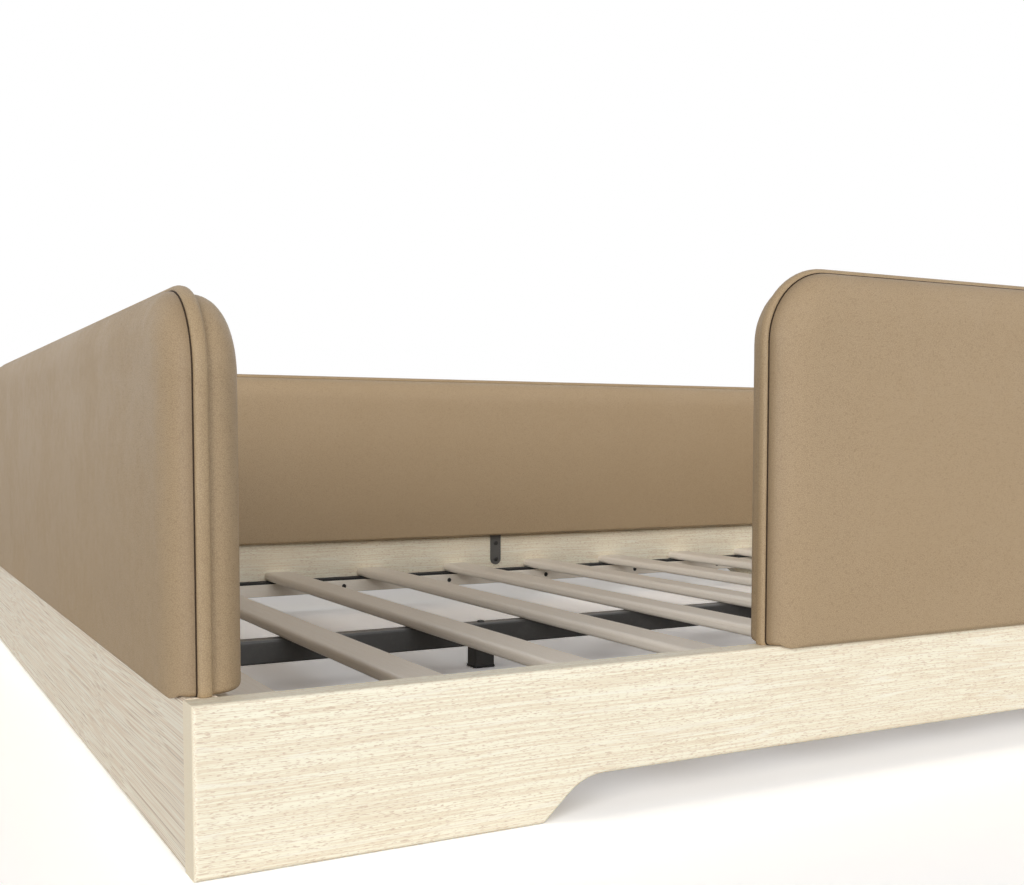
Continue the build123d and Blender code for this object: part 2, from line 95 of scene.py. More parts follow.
class NodeSheet:
    """A shader node tree that is filled one node at a time."""

    def __init__(self, tree: bpy.types.NodeTree) -> None:
        """Keep the tree and empty it.

        Args:
            tree: The node tree of a material, world or node group.
        """
        self.tree = tree
        self.tree.nodes.clear()

    def add(self, kind: str, sockets: dict | None = None, **settings: object) -> bpy.types.Node:
        """Add a node.

        Args:
            kind: Blender's name of the node type, without ShaderNode in front.
            sockets: Values for input sockets, or output sockets of other nodes to link to them.
            **settings: Attributes of the node.

        Returns:
            The new node.
        """
        node = self.tree.nodes.new(kind if kind.startswith("NodeGroup") else f"ShaderNode{kind}")
        for name, value in settings.items():
            setattr(node, name, value)
        for key, value in (sockets or {}).items():
            if isinstance(value, bpy.types.NodeSocket):
                self.tree.links.new(value, node.inputs[key])
            else:
                node.inputs[key].default_value = value
        return node

    def noise(self, vector: object, scale: object, detail: float, roughness: float = 0.5) -> Socket:
        """Add a noise texture.

        Args:
            vector: Socket that gives the coordinates.
            scale: Scale of the noise, or a socket with it.
            detail: Number of octaves.
            roughness: Weight of the finer octaves.

        Returns:
            The socket with the noise value.
        """
        values = {"Vector": vector, "Scale": scale, "Detail": detail, "Roughness": roughness}
        return self.add("TexNoise", values).outputs["Fac"]

    def ramp(
        self, value: object, low: float, high: float, to_low: float = 0.0, to_high: float = 1.0
    ) -> Socket:
        """Stretch a value smoothly from one range to another.

        Args:
            value: Socket with the value.
            low: Value that becomes to_low.
            high: Value that becomes to_high.
            to_low: Result at and below low.
            to_high: Result at and above high.

        Returns:
            The socket with the result.
        """
        values = {"Value": value, 1: low, 2: high, 3: to_low, 4: to_high}
        node = self.add("MapRange", values, interpolation_type="SMOOTHSTEP")
        return node.outputs["Result"]

    def math(self, operation: str, first: object, second: object = 0.0) -> Socket:
        """Add a math node.

        Args:
            operation: Blender's name of the operation.
            first: First value or socket.
            second: Second value or socket.

        Returns:
            The socket with the result.
        """
        return self.add("Math", {0: first, 1: second}, operation=operation).outputs[0]

    def sum(self, *terms: tuple) -> Socket:
        """Add up values, each times its weight.

        Args:
            *terms: Pairs of a socket and its weight.

        Returns:
            The socket with the sum.
        """
        total, *rest = [self.math("MULTIPLY", value, weight) for value, weight in terms]
        for term in rest:
            total = self.math("ADD", total, term)
        return total

    def blend(self, factor: object, first: object, second: object) -> Socket:
        """Mix two colours.

        Args:
            factor: Value or socket, 0 for the first colour and 1 for the second.
            first: First colour or socket.
            second: Second colour or socket.

        Returns:
            The socket with the mixed colour.
        """
        ends = [(*end, 1.0) if isinstance(end, tuple) else end for end in (first, second)]
        return self.add("Mix", {0: factor, 6: ends[0], 7: ends[1]}, data_type="RGBA").outputs[2]


def open_group(name: str, inputs: dict) -> tuple:
    """Start a shader node group that works from coordinates.

    Args:
        name: Name of the group.
        inputs: Name and default value of each number that it takes.

    Returns:
        The group's node sheet, the socket with the coordinates, and its other inputs by name.
    """
    tree = bpy.data.node_groups.new(name, "ShaderNodeTree")
    tree.interface.new_socket("Coordinates", in_out="INPUT", socket_type="NodeSocketVector")
    for label, value in inputs.items():
        socket = tree.interface.new_socket(label, in_out="INPUT", socket_type="NodeSocketFloat")
        socket.default_value = value
    sheet = NodeSheet(tree)
    given = sheet.add("NodeGroupInput").outputs
    return sheet, given["Coordinates"], given


def close_group(sheet: NodeSheet, results: dict) -> bpy.types.NodeTree:
    """Give a node group its outputs, which are all numbers.

    Args:
        sheet: The group's node sheet.
        results: The socket behind each output, by the output's name.

    Returns:
        The node group.
    """
    for label in results:
        sheet.tree.interface.new_socket(label, in_out="OUTPUT", socket_type="NodeSocketFloat")
    sheet.add("NodeGroupOutput", results)
    return sheet.tree


def timber_group() -> bpy.types.NodeTree:
    """Build the group for timber: streaks along X, fine pores, pale growth lines and changes of tone.

    Returns:
        The node group.
    """
    sheet, where, given = open_group("timber_grain", {"Streak Length": 0.04, "Pore Length": 0.006})
    wander = sheet.math("MULTIPLY", sheet.noise(where, 2.5, 2.0), 0.012)
    split = sheet.add("SeparateXYZ", {0: where}).outputs
    cross = [sheet.math("ADD", split[axis], wander) for axis in (1, 2)]

    def fibres(length: object, cells: float, detail: float, roughness: float = 0.5) -> Socket:
        """Add noise whose cells are stretched along the grain.

        Args:
            length: Length of a cell in metres, or a socket with it.
            cells: Number of cells in a metre across the grain.
            detail: Number of octaves.
            roughness: Weight of the finer octaves.

        Returns:
            The socket with the noise value.
        """
        along = sheet.math("DIVIDE", split[0], length)
        across, upward = (sheet.math("MULTIPLY", place, cells) for place in cross)
        place = sheet.add("CombineXYZ", {0: along, 1: across, 2: upward}).outputs[0]
        return sheet.noise(place, 1.0, detail, roughness)

    fine = fibres(given["Streak Length"], 1150.0, 1.0, 0.6)
    long = fibres(0.34, 880.0, 1.0, 0.6)
    broad = fibres(0.3, 210.0, 2.0, 0.6)
    streak = sheet.sum((fine, 0.42), (long, 0.48), (broad, 0.10))
    pore = sheet.ramp(fibres(given["Pore Length"], 1250.0, 1.0, 0.6), 0.56, 0.67)
    off_ring = sheet.math("ABSOLUTE", sheet.math("SUBTRACT", fibres(0.6, 95.0, 1.0), 0.5))
    results = {
        "Streak": sheet.ramp(streak, 0.44, 0.56),
        "Pore": pore,
        "Line": sheet.ramp(off_ring, 0.0, 0.022, 1.0, 0.0),
        "Tone": sheet.ramp(fibres(0.9, 9.0, 2.0), 0.3, 0.7),
        "Height": sheet.sum((streak, 0.8), (pore, -0.3)),
    }
    return close_group(sheet, results)


def leather_group() -> bpy.types.NodeTree:
    """Build the group for pebbled leather: small cells with creases between them, and soft mottling.

    Returns:
        The node group.
    """
    sheet, where, given = open_group("leather_pebble", {"Pebbles Per Metre": 560.0})
    jitter = sheet.add("TexNoise", {"Vector": where, "Scale": 300.0, "Detail": 1.0}).outputs["Color"]
    shake = sheet.add("VectorMath", {0: jitter, "Scale": 0.0014}, operation="SCALE").outputs[0]
    shaken = sheet.add("VectorMath", {0: where, 1: shake}, operation="ADD").outputs[0]
    sockets = {"Vector": shaken, "Scale": given["Pebbles Per Metre"]}
    cells = sheet.add("TexVoronoi", sockets, feature="DISTANCE_TO_EDGE")
    pebble = sheet.ramp(cells.outputs["Distance"], 0.0, 0.16)
    mottle = sheet.sum((sheet.noise(where, 7.0, 3.0), 0.6), (sheet.noise(where, 60.0, 3.0), 0.4))
    results = {
        "Mottle": sheet.ramp(mottle, 0.33, 0.67),
        "Crease": sheet.math("SUBTRACT", 1.0, pebble),
        "Height": sheet.sum((pebble, 1.0), (sheet.noise(where, 1900.0, 2.0), 0.35)),
    }
    return close_group(sheet, results)


def speckle_group() -> bpy.types.NodeTree:
    """Build the group for coated and moulded surfaces: fine orange peel, dust and rubbed patches.

    Returns:
        The node group.
    """
    sheet, where, given = open_group("coat_speckle", {"Bumps Per Metre": 900.0})
    results = {
        "Rubbed": sheet.ramp(sheet.noise(where, 22.0, 5.0, 0.65), 0.5, 0.72),
        "Dust": sheet.ramp(sheet.noise(where, 140.0, 4.0, 0.7), 0.45, 0.75),
        "Height": sheet.noise(where, given["Bumps Per Metre"], 2.0),
    }
    return close_group(sheet, results)


def new_material(name: str) -> tuple:
    """Start a material.

    Args:
        name: Name of the material.

    Returns:
        The material and its node sheet.
    """
    material = bpy.data.materials.new(name)
    material.use_nodes = True
    return material, NodeSheet(material.node_tree)


def close_material(
    sheet: NodeSheet, sockets: dict, height: Socket, strength: float, distance: float
) -> None:
    """Add the bump, the surface shader and the output to a material.

    Args:
        sheet: The material's node sheet.
        sockets: Values and links of the surface shader's sockets.
        height: Socket with the height of the surface detail.
        strength: Strength of the bump.
        distance: Depth of the bump in metres.
    """
    bump = sheet.add("Bump", {"Height": height, "Strength": strength, "Distance": distance})
    surface = sheet.add("BsdfPrincipled", {**sockets, "Normal": bump.outputs["Normal"]})
    sheet.add("OutputMaterial", {"Surface": surface.outputs["BSDF"]})


@dataclass(frozen=True)
class TimberFinish:
    """Clear-oiled pale timber with its fibres along one axis."""

    name: str
    grain: Grain
    pale: Colour
    dark: Colour
    pore: Colour
    light: Colour
    end_shade: float
    streak_strength: float
    pore_strength: float
    line_strength: float
    roughness: float
    streak_length: float = 0.04
    pore_length: float = 0.006
    specular: float = 0.35
    tone_strength: float = 0.16
    end_strength: float = 0.65
    bump: float = 0.3
    bump_depth: float = 0.0004

    def material(self, group: bpy.types.NodeTree) -> bpy.types.Material:
        """Build the material.

        Args:
            group: The node group that all finishes of this kind share.

        Returns:
            The material.
        """
        material, sheet = new_material(self.name)
        coords, turn = sheet.add("TexCoord").outputs, {"Rotation": (0.0, 0.0, self.grain.value)}
        where, normal = (
            sheet.add("Mapping", {"Vector": coords[way], **turn}).outputs[0] for way in ("Object", "Normal")
        )
        sockets = {"Streak Length": self.streak_length, "Pore Length": self.pore_length}
        grain = sheet.add("Group", {"Coordinates": where, **sockets}, node_tree=group).outputs
        share = sheet.sum((grain["Streak"], self.streak_strength), (grain["Tone"], self.tone_strength))
        colour = sheet.blend(share, self.pale, self.dark)
        pores = sheet.math("MULTIPLY", grain["Pore"], self.pore_strength)
        colour = sheet.blend(pores, colour, self.pore)
        lines = sheet.math("MULTIPLY", grain["Line"], self.line_strength)
        colour = sheet.blend(lines, colour, self.light)
        end_on = sheet.math("ABSOLUTE", sheet.add("SeparateXYZ", {0: normal}).outputs[0])
        ends = sheet.math("MULTIPLY", sheet.ramp(end_on, 0.75, 0.95), self.end_strength)
        colour = sheet.blend(ends, colour, tuple(channel * self.end_shade for channel in self.dark))
        rough = sheet.ramp(grain["Streak"], 0.0, 1.0, self.roughness - 0.06, self.roughness + 0.08)
        sockets = {"Base Color": colour, "Roughness": rough, "Specular IOR Level": self.specular}
        close_material(sheet, sockets, grain["Height"], self.bump, self.bump_depth)
        return material


@dataclass(frozen=True)
class LeatherFinish:
    """Soft matt upholstery leather with a fine pebble, and painted shade that darkens it near the seam."""

    name: str
    pale: Colour
    dark: Colour
    crease: Colour
    roughness: float
    specular: float
    bump: float
    crease_strength: float = 0.75
    painted_seam_shade_strength: float = 0.6
    seam_shade: float = 0.66
    bump_depth: float = 0.0003

    def material(self, group: bpy.types.NodeTree) -> bpy.types.Material:
        """Build the material.

        Args:
            group: The node group that all finishes of this kind share.

        Returns:
            The material.
        """
        material, sheet = new_material(self.name)
        where = sheet.add("TexCoord").outputs["Object"]
        hide = sheet.add("Group", {"Coordinates": where}, node_tree=group).outputs
        colour = sheet.blend(hide["Mottle"], self.dark, self.pale)
        creases = sheet.math("MULTIPLY", hide["Crease"], self.crease_strength)
        colour = sheet.blend(creases, colour, self.crease)
        # Painted shade: the leather turns darker near the seam, weighted by the pads' seam attribute.
        painted_shade_weight = sheet.add("Attribute", attribute_name=PAINTED_SHADE_ATTRIBUTE).outputs["Fac"]
        shade_painted_at_seam = sheet.math("MULTIPLY", painted_shade_weight, self.painted_seam_shade_strength)
        colour = sheet.blend(shade_painted_at_seam, colour, tuple(channel * self.seam_shade for channel in self.crease))
        rough = sheet.ramp(hide["Mottle"], 0.0, 1.0, self.roughness + 0.05, self.roughness - 0.05)
        sockets = {"Base Color": colour, "Roughness": rough, "Specular IOR Level": self.specular}
        close_material(sheet, sockets, hide["Height"], self.bump, self.bump_depth)
        return material


@dataclass(frozen=True)
class CoatFinish:
    """Powder-coated, moulded, rubber or plated surface with fine speckle."""

    name: str
    base: Colour
    rubbed: Colour
    dust: Colour
    roughness: float
    metallic: float = 0.0
    bumps_per_metre: float = 900.0
    bump: float = 0.25
    dust_strength: float = 0.3
    bump_depth: float = 0.00015

    def material(self, group: bpy.types.NodeTree) -> bpy.types.Material:
        """Build the material.

        Args:
            group: The node group that all finishes of this kind share.

        Returns:
            The material.
        """
        material, sheet = new_material(self.name)
        where = sheet.add("TexCoord").outputs["Object"]
        sockets = {"Coordinates": where, "Bumps Per Metre": self.bumps_per_metre}
        coat = sheet.add("Group", sockets, node_tree=group).outputs
        colour = sheet.blend(coat["Rubbed"], self.base, self.rubbed)
        colour = sheet.blend(sheet.math("MULTIPLY", coat["Dust"], self.dust_strength), colour, self.dust)
        rough = sheet.ramp(coat["Rubbed"], 0.0, 1.0, self.roughness + 0.04, self.roughness - 0.08)
        sockets = {"Base Color": colour, "Roughness": rough, "Metallic": self.metallic}
        close_material(sheet, sockets, coat["Height"], self.bump, self.bump_depth)
        return material


class Wardrobe:
    """Every finish of the bed, by the name of its use."""

    def __init__(self) -> None:
        """Build the finishes."""
        board = TimberFinish(
            "board_timber_long", Grain.ALONG_X,
            pale=(0.998, 0.955, 0.785), dark=(0.87, 0.765, 0.585), pore=(0.70, 0.55, 0.41),
            light=(0.99, 0.95, 0.82),
            end_shade=1.15, streak_strength=0.9, pore_strength=0.85, line_strength=0.6, roughness=0.46,
            streak_length=0.08,
        )
        end_board = replace(
            board, name="board_timber_end", grain=Grain.ALONG_Y,
            pale=(0.998, 0.94, 0.79), dark=(0.85, 0.725, 0.575), pore=(0.58, 0.46, 0.355),
            line_strength=0.8, streak_length=0.4, pore_length=0.4,
        )
        slat = TimberFinish(
            "slat_timber", Grain.ALONG_Y,
            pale=(0.975, 0.90, 0.795), dark=(0.93, 0.845, 0.735), pore=(0.58, 0.49, 0.40),
            light=(0.98, 0.92, 0.83),
            end_shade=0.9, streak_strength=0.7, pore_strength=0.12, line_strength=0.3, roughness=0.36,
            specular=0.55,
        )
        core = TimberFinish(
            "core_fibreboard", Grain.ALONG_X,
            pale=(0.42, 0.33, 0.23), dark=(0.36, 0.27, 0.18), pore=(0.25, 0.18, 0.12),
            light=(0.46, 0.37, 0.27),
            end_shade=1.0, streak_strength=0.7, pore_strength=0.2, line_strength=0.0, roughness=0.8,
            streak_length=0.004,
        )
        pad = ((0.458, 0.336, 0.203), (0.449, 0.328, 0.196), (0.305, 0.21, 0.12))
        # The band is the pads' leather painted about 4% darker, as painted shade.
        band = ((0.438, 0.322, 0.191), (0.422, 0.306, 0.178), (0.305, 0.21, 0.12))
        welt = ((0.050, 0.030, 0.016), (0.036, 0.022, 0.012), (0.02, 0.013, 0.008))
        # Straps and brackets, beam and cradles, and legs share one black powder coat: these are copies of it at
        # three levels, painted light, with the fitting copy lightest and the leg copy darkest.
        fitting_coat_painted_lighter = ((0.112, 0.108, 0.102), (0.125, 0.121, 0.114), (0.15, 0.146, 0.137))
        beam_coat_painted_lighter = ((0.090, 0.089, 0.087), (0.11, 0.108, 0.105), (0.14, 0.136, 0.13))
        leg = ((0.062, 0.060, 0.057), (0.078, 0.075, 0.071), (0.10, 0.097, 0.09))
        dust = (0.05, 0.048, 0.045)
        rubber = ((0.016, 0.016, 0.016), (0.024, 0.024, 0.023), dust)
        plastic = ((0.022, 0.022, 0.022), (0.03, 0.03, 0.029), dust)
        oxide = ((0.06, 0.058, 0.055), (0.12, 0.116, 0.11), dust)
        zinc = ((0.52, 0.52, 0.50), (0.62, 0.62, 0.60), (0.34, 0.33, 0.31))
        finishes = {
            "long_board": board,
            "end_board": end_board,
            "slat": slat,
            "ledge": replace(slat, name="ledge_timber", grain=Grain.ALONG_X),
            "core": core,
            "pad": LeatherFinish("pad_leather", *pad, 0.5, 0.42, 0.42),
            "band": LeatherFinish("band_leather_painted_darker", *band, 0.5, 0.42, 0.42),
            "seam": LeatherFinish("seam_welt", *welt, 0.7, 0.2, 0.3),
            "fitting_coat_painted_lighter": CoatFinish("fitting_powder_coat_painted_lighter", *fitting_coat_painted_lighter, 0.4),
            "beam_coat_painted_lighter": CoatFinish("beam_powder_coat_painted_lighter", *beam_coat_painted_lighter, 0.36),
            "leg": CoatFinish("leg_powder_coat", *leg, 0.36),
            "rubber": CoatFinish("strip_rubber", *rubber, 0.78, 0.0, 1500.0, 0.3),
            "plastic": CoatFinish("foot_plastic", *plastic, 0.55, 0.0, 1200.0, 0.2),
            "screw": CoatFinish("black_oxide_screw", *oxide, 0.3, 0.5, 1800.0, 0.15),
            "zinc": CoatFinish("zinc_plate", *zinc, 0.34, 1.0, 1800.0, 0.12),
        }
        groups = {TimberFinish: timber_group(), LeatherFinish: leather_group(), CoatFinish: speckle_group()}
        self.materials = {use: finish.material(groups[type(finish)]) for use, finish in finishes.items()}

    def dress(self, piece: Piece, use: str, slot: Slot) -> None:
        """Give a piece its finish.

        Args:
            piece: The object.
            use: Name of the finish.
            slot: The record's slot that the finish belongs to; not used.
        """
        piece.data.materials.clear()
        piece.data.materials.append(self.materials[use])


def mesh_object(name: str, points: np.ndarray, faces: list, smooth_angle: float = 0.7) -> Piece:
    """Make an object from points and faces, with its faces turned outwards.

    Args:
        name: Name of the object.
        points: Its points, one row each.
        faces: Tuples of point numbers.
        smooth_angle: Edges that bend more than this stay sharp.

    Returns:
        The object, linked to the scene.
    """
    mesh = bpy.data.meshes.new(name)
    mesh.from_pydata([tuple(point) for point in points.tolist()], [], faces)
    shape = bmesh.new()
    shape.from_mesh(mesh)
    bmesh.ops.recalc_face_normals(shape, faces=shape.faces)
    for face in shape.faces:
        face.smooth = True
    for edge in shape.edges:
        edge.smooth = len(edge.link_faces) == 2 and edge.calc_face_angle(0.0) < smooth_angle
    shape.to_mesh(mesh)
    shape.free()
    piece = bpy.data.objects.new(name, mesh)
    bpy.context.scene.collection.objects.link(piece)
    return piece


@dataclass(frozen=True)
class BedSide:
    """One side of the bed, measured from the outer face of its board at floor level."""

    origin: tuple[float, float]
    along: tuple[float, float]
    inward: tuple[float, float]

    def place(self, along: np.ndarray, up: np.ndarray, depth: np.ndarray) -> np.ndarray:
        """Turn places on this side into points.

        Args:
            along: Distances along the side from its middle.
            up: Heights above the floor.
            depth: Distances inwards from the board's outer face.

        Returns:
            The points, one row each.
        """
        x = self.origin[0] + self.along[0] * along + self.inward[0] * depth
        y = self.origin[1] + self.along[1] * along + self.inward[1] * depth
        return np.stack([x, y, up * np.ones_like(x)], axis=1)

    def span(self, node: str) -> tuple:
        """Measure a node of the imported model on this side.

        Args:
            node: Name of the node.

        Returns:
            What measure gives for the node's box.
        """
        return self.measure(*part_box(node))

    def measure(self, low: object, high: object) -> tuple:
        """Measure a box on this side.

        Args:
            low: Its lowest corner.
            high: Its highest corner.

        Returns:
            Its (first, last) places along the side, its (bottom, top), and its (outer, inner) depths.
        """
        corners = np.array([(x, y) for x in (low[0], high[0]) for y in (low[1], high[1])])
        corners = corners - np.array(self.origin)
        places = corners @ np.array(self.along)
        depths = corners @ np.array(self.inward)
        return (places.min(), places.max()), (low[2], high[2]), (depths.min(), depths.max())


@dataclass(frozen=True)
class PanelOutline:
    """Outline of an upright panel with large top corners and small foot corners."""

    first: float
    last: float
    bottom: float
    top: float
    top_radius: float
    foot_radius: float
    step: float = 0.009
    corner_points: int = 16
    least_radius: float = 0.003

    def counts(self) -> tuple[int, int]:
        """Count the points along its level and upright edges.

        Returns:
            The number along a whole level edge and along half an upright edge.
        """
        level = int((self.last - self.first) / self.step)
        upright = int((self.top - self.bottom) / self.step / 2)
        return level, upright

    def ring(self, inset: float, foot_inset: float) -> np.ndarray:
        """Draw the outline, drawn in from its edges.

        Args:
            inset: How far its ends and top are drawn in.
            foot_inset: How far its foot is drawn in.

        Returns:
            Points (along, up): from the middle of the first edge down, along the bottom and over the top.
        """
        level, upright = self.counts()
        first, last = self.first + inset, self.last - inset
        bottom, top = self.bottom + foot_inset, self.top - inset
        middle = (bottom + top) / 2
        foot = max(self.foot_radius - foot_inset, self.least_radius)
        crown = max(self.top_radius - inset, self.least_radius)
        turn = np.linspace(0.0, math.pi / 2, self.corner_points)
        share = (np.arange(upright) + 0.5) / upright
        run = (np.arange(level) + 1.0) / (level + 1)

        bends = []
        for along, up, radius, quarters in (
            (first + foot, bottom + foot, foot, 2),
            (last - foot, bottom + foot, foot, 3),
            (last - crown, top - crown, crown, 0),
            (first + crown, top - crown, crown, 1),
        ):
            angles = quarters * math.pi / 2 + turn
            bends.append(np.stack([along + radius * np.cos(angles), up + radius * np.sin(angles)], axis=1))

        def line(start: tuple, end: tuple, shares: np.ndarray) -> np.ndarray:
            """Draw a straight run.

            Args:
                start: Its first end.
                end: Its last end.
                shares: Place of each point, 0 at the first end and 1 at the last.

            Returns:
                Its points.
            """
            return np.array(start) + np.outer(shares, np.array(end) - np.array(start))

        left, right = (first, middle), (last, middle)
        foot_left, foot_right, top_right, top_left = bends
        run_low = line(foot_left[-1], foot_right[0], run)
        run_high = line(top_right[-1], top_left[0], run)
        low = [line(left, foot_left[0], share), foot_left, run_low, foot_right]
        high = [line(right, top_right[0], share), top_right, run_high, top_left]
        sides = [line(foot_right[-1], right, share), line(top_left[-1], left, share)]
        return np.concatenate([*low, sides[0], *high, sides[1]])

    def corner_share(self) -> np.ndarray:
        """Tell how near each point lies to a top corner.

        Returns:
            One share for each point, 1 at the middle of a top bend and 0 on the straights.
        """
        level, upright = self.counts()
        bend = np.sin(np.linspace(0.0, math.pi, self.corner_points)) ** 0.5
        calm, gap = np.zeros(2 * upright + level + 2 * self.corner_points), np.zeros(upright)
        return np.concatenate([calm, gap, bend, np.zeros(level), bend, gap])

    def lengths(self) -> np.ndarray:
        """Measure along the outline.

        Returns:
            Each point's distance from the first.
        """
        ring = self.ring(0.0, 0.0)
        steps = np.linalg.norm(np.diff(ring, axis=0), axis=1)
        return np.concatenate([[0.0], np.cumsum(steps)])


def ring_faces(rings: int, count: int, close: bool) -> list:
    """Number the faces between rings of points.

    Args:
        rings: Number of rings.
        count: Number of points in a ring.
        close: Whether the last ring joins the first.

    Returns:
        Faces of four points.
    """
    faces = []
    for ring in range(rings if close else rings - 1):
        near, far = ring * count, (ring + 1) % rings * count
        for point in range(count):
            after = (point + 1) % count
            faces.append((near + point, near + after, far + after, far + point))
    return faces


def cap_faces(start: int, outline: PanelOutline) -> list:
    """Number the faces that close a ring: a strip between its level edges and a face at each end.

    Args:
        start: Number of the ring's first point.
        outline: The outline.

    Returns:
        The faces.
    """
    level, upright = outline.counts()
    low = upright + outline.corner_points
    high = low + level + 2 * upright + 2 * outline.corner_points
    count = high + level + outline.corner_points + upright
    last = high + level - 1
    faces = [(low + i, low + i + 1, last - 1 - i, last - i) for i in range(level - 1)]
    faces.append(tuple(range(last, count)) + tuple(range(low + 1)))
    faces.append(tuple(range(low + level - 1, high + 1)))
    return [tuple(start + number for number in face) for face in faces]


@dataclass(frozen=True)
class PadShape:
    """Section of a pad: a tight seam, a domed rim with a short turn at the foot, and a slight crown."""

    depth: float
    reach: float = 0.050
    foot_reach: float = 0.007
    power: float = 2.3
    crown: float = 0.0012
    crown_reach: float = 0.11
    middle_strip: float = 0.024
    shade_run: float = 0.014
    hem: float = 0.006
    rim_rings: int = 18
    crown_rings: int = 12
    crown_spacing: float = 1.4

    def painted_seam_shade_share(self, points: list) -> np.ndarray:
        """Tell how near each ring lies to the seam, measured over the pad's skin, to weight the painted shade
        there.

        Args:
            points: The section, as profile gives it.

        Returns:
            One share for each ring, 1 at the seam.
        """
        steps = np.diff(np.array(points)[1:], axis=0)
        run = np.concatenate([[0.0, 0.0], np.cumsum(np.hypot(steps[:, 0], steps[:, 2]))])
        return np.exp(-run / self.shade_run)

    def profile(self, room: float) -> list:
        """Draw the section from the seam to the middle.

        Args:
            room: Height of the pad's outline.

        Returns:
            Each ring's inset at the ends and top, its inset at the foot, and its height over the board.
        """
        points = [(self.hem, self.hem, 0.0)]
        for turn in np.linspace(0.0, math.pi / 2, self.rim_rings):
            rise = math.sin(turn) ** (2 / self.power)
            drawn = 1 - math.cos(turn) ** (2 / self.power)
            points.append((self.reach * drawn, self.foot_reach * drawn, (self.depth - self.crown) * rise))
        run = (room - self.middle_strip - self.reach - self.foot_reach) / 2
        for share in np.linspace(0.0, 1.0, self.crown_rings)[1:] ** self.crown_spacing:
            bend = math.cos(math.pi * min(run * share / self.crown_reach, 1.0))
            height = self.depth - self.crown * (1 + bend) / 2
            points.append((self.reach + run * share, self.foot_reach + run * share, height))
        return points


def carve(piece: Piece, side: BedSide, boxes: list) -> None:
    """Cut boxes out of a piece.

    Args:
        piece: The piece.
        side: The side that the boxes are measured on.
        boxes: For each box its two places along the side, its two heights and its two depths.
    """
    points, faces = [], []
    for count, box in enumerate(boxes):
        corners = np.array([(a, u, d) for a in box[0] for u in box[1] for d in box[2]])
        points.append(side.place(*corners.T))
        for face in ((0, 1, 3, 2), (4, 6, 7, 5), (0, 4, 5, 1), (2, 3, 7, 6), (0, 2, 6, 4), (1, 5, 7, 3)):
            faces.append(tuple(8 * count + number for number in face))
    cutter = mesh_object(f"{piece.name}_cutter", np.concatenate(points), faces)
    change = piece.modifiers.new("pockets", "BOOLEAN")
    change.operation = "DIFFERENCE"
    change.object = cutter
    plain = piece.data
    piece.data = bpy.data.meshes.new_from_object(piece.evaluated_get(bpy.context.evaluated_depsgraph_get()))
    piece.modifiers.clear()
    bpy.data.meshes.remove(plain)
    bpy.data.meshes.remove(cutter.data)


